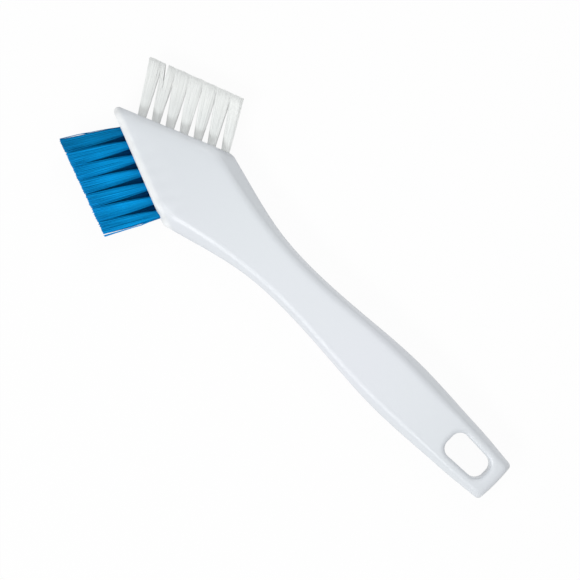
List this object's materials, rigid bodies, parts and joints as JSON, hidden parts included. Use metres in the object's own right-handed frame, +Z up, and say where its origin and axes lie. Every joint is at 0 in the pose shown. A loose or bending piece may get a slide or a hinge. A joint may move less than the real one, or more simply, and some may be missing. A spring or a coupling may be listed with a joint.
{
  "type": "crevice brush",
  "caption": "Two-sided crevice brush: pointed white plastic head with a block of blue bristles on one sloping face and white bristles on the other, on a waisted flat handle with a hanging slot.",
  "frame": {"origin": "on the lower broad face of the handle, on its long axis, under the corners where the two bristle faces end", "axes": "+X along the handle from the head's point to the hanging slot, +Y to the white bristles, +Z up out of the upper broad face as the brush lies flat"},
  "size_m": [0.2065, 0.0741, 0.011],
  "materials": {
    "handle": "satin moulded polypropylene",
    "blue_bristle": "blue monofilament",
    "white_bristle": "white translucent monofilament",
    "anchor_wire": "flat drawn wire"
  },
  "bodies": {
    "root": {"handle": "handle", "white_tuft_1": "white_bristle", "white_tuft_2": "white_bristle", "white_tuft_3": "white_bristle", "white_tuft_4": "white_bristle", "white_tuft_5": "white_bristle", "white_tuft_6": "white_bristle", "white_tuft_7": "white_bristle", "blue_front_tuft_1": "blue_bristle", "blue_front_tuft_2": "blue_bristle", "blue_front_tuft_3": "blue_bristle", "blue_front_tuft_4": "blue_bristle", "blue_front_tuft_5": "blue_bristle", "blue_front_tuft_6": "blue_bristle", "blue_front_tuft_7": "blue_bristle", "blue_back_tuft_1": "blue_bristle", "blue_back_tuft_2": "blue_bristle", "blue_back_tuft_3": "blue_bristle", "blue_back_tuft_4": "blue_bristle", "blue_back_tuft_5": "blue_bristle", "blue_back_tuft_6": "blue_bristle", "white_anchor_1": "anchor_wire", "white_anchor_2": "anchor_wire", "white_anchor_3": "anchor_wire", "white_anchor_4": "anchor_wire", "white_anchor_5": "anchor_wire", "white_anchor_6": "anchor_wire", "white_anchor_7": "anchor_wire", "blue_front_anchor_1": "anchor_wire", "blue_front_anchor_2": "anchor_wire", "blue_front_anchor_3": "anchor_wire", "blue_front_anchor_4": "anchor_wire", "blue_front_anchor_5": "anchor_wire", "blue_front_anchor_6": "anchor_wire", "blue_front_anchor_7": "anchor_wire", "blue_back_anchor_1": "anchor_wire", "blue_back_anchor_2": "anchor_wire", "blue_back_anchor_3": "anchor_wire", "blue_back_anchor_4": "anchor_wire", "blue_back_anchor_5": "anchor_wire", "blue_back_anchor_6": "anchor_wire"}
  },
  "joints": []
}
